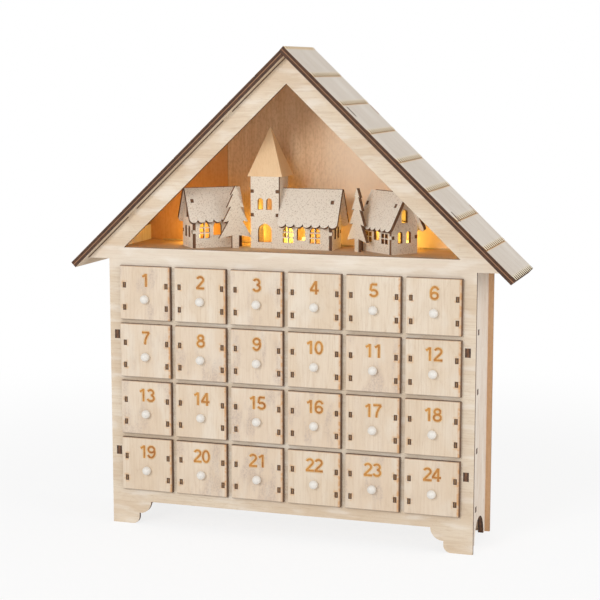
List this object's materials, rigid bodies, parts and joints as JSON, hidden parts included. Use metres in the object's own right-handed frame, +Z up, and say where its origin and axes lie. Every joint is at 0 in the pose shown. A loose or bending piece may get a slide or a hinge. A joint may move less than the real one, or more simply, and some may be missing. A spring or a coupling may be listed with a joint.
{
  "type": "wooden advent calendar",
  "caption": "Plywood house with numbered pull-out drawers in rows, a lit village in the open gable and a battery case on the back.",
  "frame": {"origin": "on the ground under the middle of the whole object's box", "axes": "+Z up, +X to the viewer's right, -Y towards the viewer of the drawer fronts"},
  "size_m": [0.415, 0.1078, 0.4437],
  "materials": {
    "pale_plywood": "bare sanded plywood",
    "drawer_plywood": "bare sanded plywood",
    "whitewashed_plywood": "pale limed plywood",
    "village_plywood": "pale limed plywood",
    "brown_veneer": "bare brown veneer",
    "natural_wood": "bare sawn wood",
    "wire_sleeve": "clear-brown sleeve",
    "warm_lamp": "clear domed lamp",
    "case_plastic": "fine matt",
    "switch_plastic": "smooth",
    "cell_jacket": "plain sleeve",
    "contact_metal": "plated"
  },
  "bodies": {
    "house": {"front_panel": "pale_plywood", "back_panel": "brown_veneer", "left_side_panel": "pale_plywood", "right_side_panel": "pale_plywood", "shelf_1": "pale_plywood", "shelf_2": "pale_plywood", "shelf_3": "pale_plywood", "shelf_4": "pale_plywood", "attic_floor": "pale_plywood", "divider_1": "pale_plywood", "divider_2": "pale_plywood", "divider_3": "pale_plywood", "divider_4": "pale_plywood", "divider_5": "pale_plywood", "roof_left_board": "pale_plywood", "roof_left_shingles": "whitewashed_plywood", "roof_right_board": "pale_plywood", "roof_right_shingles": "whitewashed_plywood", "church_tower": "village_plywood", "church_spire": "natural_wood", "church_nave_walls": "village_plywood", "church_nave_roof": "village_plywood", "left_cottage_walls": "village_plywood", "left_cottage_roof": "village_plywood", "right_cottage_walls": "village_plywood", "right_cottage_roof": "village_plywood", "left_tree": "village_plywood", "right_tree": "village_plywood", "lamp_wires": "wire_sleeve", "lamps": "warm_lamp", "battery_case": "case_plastic", "batteries": "cell_jacket", "battery_contacts": "contact_metal"},
    "drawer_01": {"drawer_01": "drawer_plywood"},
    "drawer_02": {"drawer_02": "drawer_plywood"},
    "drawer_03": {"drawer_03": "drawer_plywood"},
    "drawer_04": {"drawer_04": "drawer_plywood"},
    "drawer_05": {"drawer_05": "drawer_plywood"},
    "drawer_06": {"drawer_06": "drawer_plywood"},
    "drawer_07": {"drawer_07": "drawer_plywood"},
    "drawer_08": {"drawer_08": "drawer_plywood"},
    "drawer_09": {"drawer_09": "drawer_plywood"},
    "drawer_10": {"drawer_10": "drawer_plywood"},
    "drawer_11": {"drawer_11": "drawer_plywood"},
    "drawer_12": {"drawer_12": "drawer_plywood"},
    "drawer_13": {"drawer_13": "drawer_plywood"},
    "drawer_14": {"drawer_14": "drawer_plywood"},
    "drawer_15": {"drawer_15": "drawer_plywood"},
    "drawer_16": {"drawer_16": "drawer_plywood"},
    "drawer_17": {"drawer_17": "drawer_plywood"},
    "drawer_18": {"drawer_18": "drawer_plywood"},
    "drawer_19": {"drawer_19": "drawer_plywood"},
    "drawer_20": {"drawer_20": "drawer_plywood"},
    "drawer_21": {"drawer_21": "drawer_plywood"},
    "drawer_22": {"drawer_22": "drawer_plywood"},
    "drawer_23": {"drawer_23": "drawer_plywood"},
    "drawer_24": {"drawer_24": "drawer_plywood"},
    "battery_cover": {"battery_cover": "case_plastic"},
    "power_switch": {"power_switch": "switch_plastic"}
  },
  "joints": [
    {"name": "drawer_01_slide", "type": "slide", "parent": "house", "child": "drawer_01", "axis": [0, -1, 0], "range_m": [0, 0.06]},
    {"name": "drawer_02_slide", "type": "slide", "parent": "house", "child": "drawer_02", "axis": [0, -1, 0], "range_m": [0, 0.06]},
    {"name": "drawer_03_slide", "type": "slide", "parent": "house", "child": "drawer_03", "axis": [0, -1, 0], "range_m": [0, 0.06]},
    {"name": "drawer_04_slide", "type": "slide", "parent": "house", "child": "drawer_04", "axis": [0, -1, 0], "range_m": [0, 0.06]},
    {"name": "drawer_05_slide", "type": "slide", "parent": "house", "child": "drawer_05", "axis": [0, -1, 0], "range_m": [0, 0.06]},
    {"name": "drawer_06_slide", "type": "slide", "parent": "house", "child": "drawer_06", "axis": [0, -1, 0], "range_m": [0, 0.06]},
    {"name": "drawer_07_slide", "type": "slide", "parent": "house", "child": "drawer_07", "axis": [0, -1, 0], "range_m": [0, 0.06]},
    {"name": "drawer_08_slide", "type": "slide", "parent": "house", "child": "drawer_08", "axis": [0, -1, 0], "range_m": [0, 0.06]},
    {"name": "drawer_09_slide", "type": "slide", "parent": "house", "child": "drawer_09", "axis": [0, -1, 0], "range_m": [0, 0.06]},
    {"name": "drawer_10_slide", "type": "slide", "parent": "house", "child": "drawer_10", "axis": [0, -1, 0], "range_m": [0, 0.06]},
    {"name": "drawer_11_slide", "type": "slide", "parent": "house", "child": "drawer_11", "axis": [0, -1, 0], "range_m": [0, 0.06]},
    {"name": "drawer_12_slide", "type": "slide", "parent": "house", "child": "drawer_12", "axis": [0, -1, 0], "range_m": [0, 0.06]},
    {"name": "drawer_13_slide", "type": "slide", "parent": "house", "child": "drawer_13", "axis": [0, -1, 0], "range_m": [0, 0.06]},
    {"name": "drawer_14_slide", "type": "slide", "parent": "house", "child": "drawer_14", "axis": [0, -1, 0], "range_m": [0, 0.06]},
    {"name": "drawer_15_slide", "type": "slide", "parent": "house", "child": "drawer_15", "axis": [0, -1, 0], "range_m": [0, 0.06]},
    {"name": "drawer_16_slide", "type": "slide", "parent": "house", "child": "drawer_16", "axis": [0, -1, 0], "range_m": [0, 0.06]},
    {"name": "drawer_17_slide", "type": "slide", "parent": "house", "child": "drawer_17", "axis": [0, -1, 0], "range_m": [0, 0.06]},
    {"name": "drawer_18_slide", "type": "slide", "parent": "house", "child": "drawer_18", "axis": [0, -1, 0], "range_m": [0, 0.06]},
    {"name": "drawer_19_slide", "type": "slide", "parent": "house", "child": "drawer_19", "axis": [0, -1, 0], "range_m": [0, 0.06]},
    {"name": "drawer_20_slide", "type": "slide", "parent": "house", "child": "drawer_20", "axis": [0, -1, 0], "range_m": [0, 0.06]},
    {"name": "drawer_21_slide", "type": "slide", "parent": "house", "child": "drawer_21", "axis": [0, -1, 0], "range_m": [0, 0.06]},
    {"name": "drawer_22_slide", "type": "slide", "parent": "house", "child": "drawer_22", "axis": [0, -1, 0], "range_m": [0, 0.06]},
    {"name": "drawer_23_slide", "type": "slide", "parent": "house", "child": "drawer_23", "axis": [0, -1, 0], "range_m": [0, 0.06]},
    {"name": "drawer_24_slide", "type": "slide", "parent": "house", "child": "drawer_24", "axis": [0, -1, 0], "range_m": [0, 0.06]},
    {"name": "battery_cover_slide", "type": "slide", "parent": "house", "child": "battery_cover", "axis": [-1, 0, 0], "range_m": [0, 0.06]},
    {"name": "power_switch_slide", "type": "slide", "parent": "house", "child": "power_switch", "axis": [0, 0, 1], "range_m": [0, 0.003]}
  ]
}
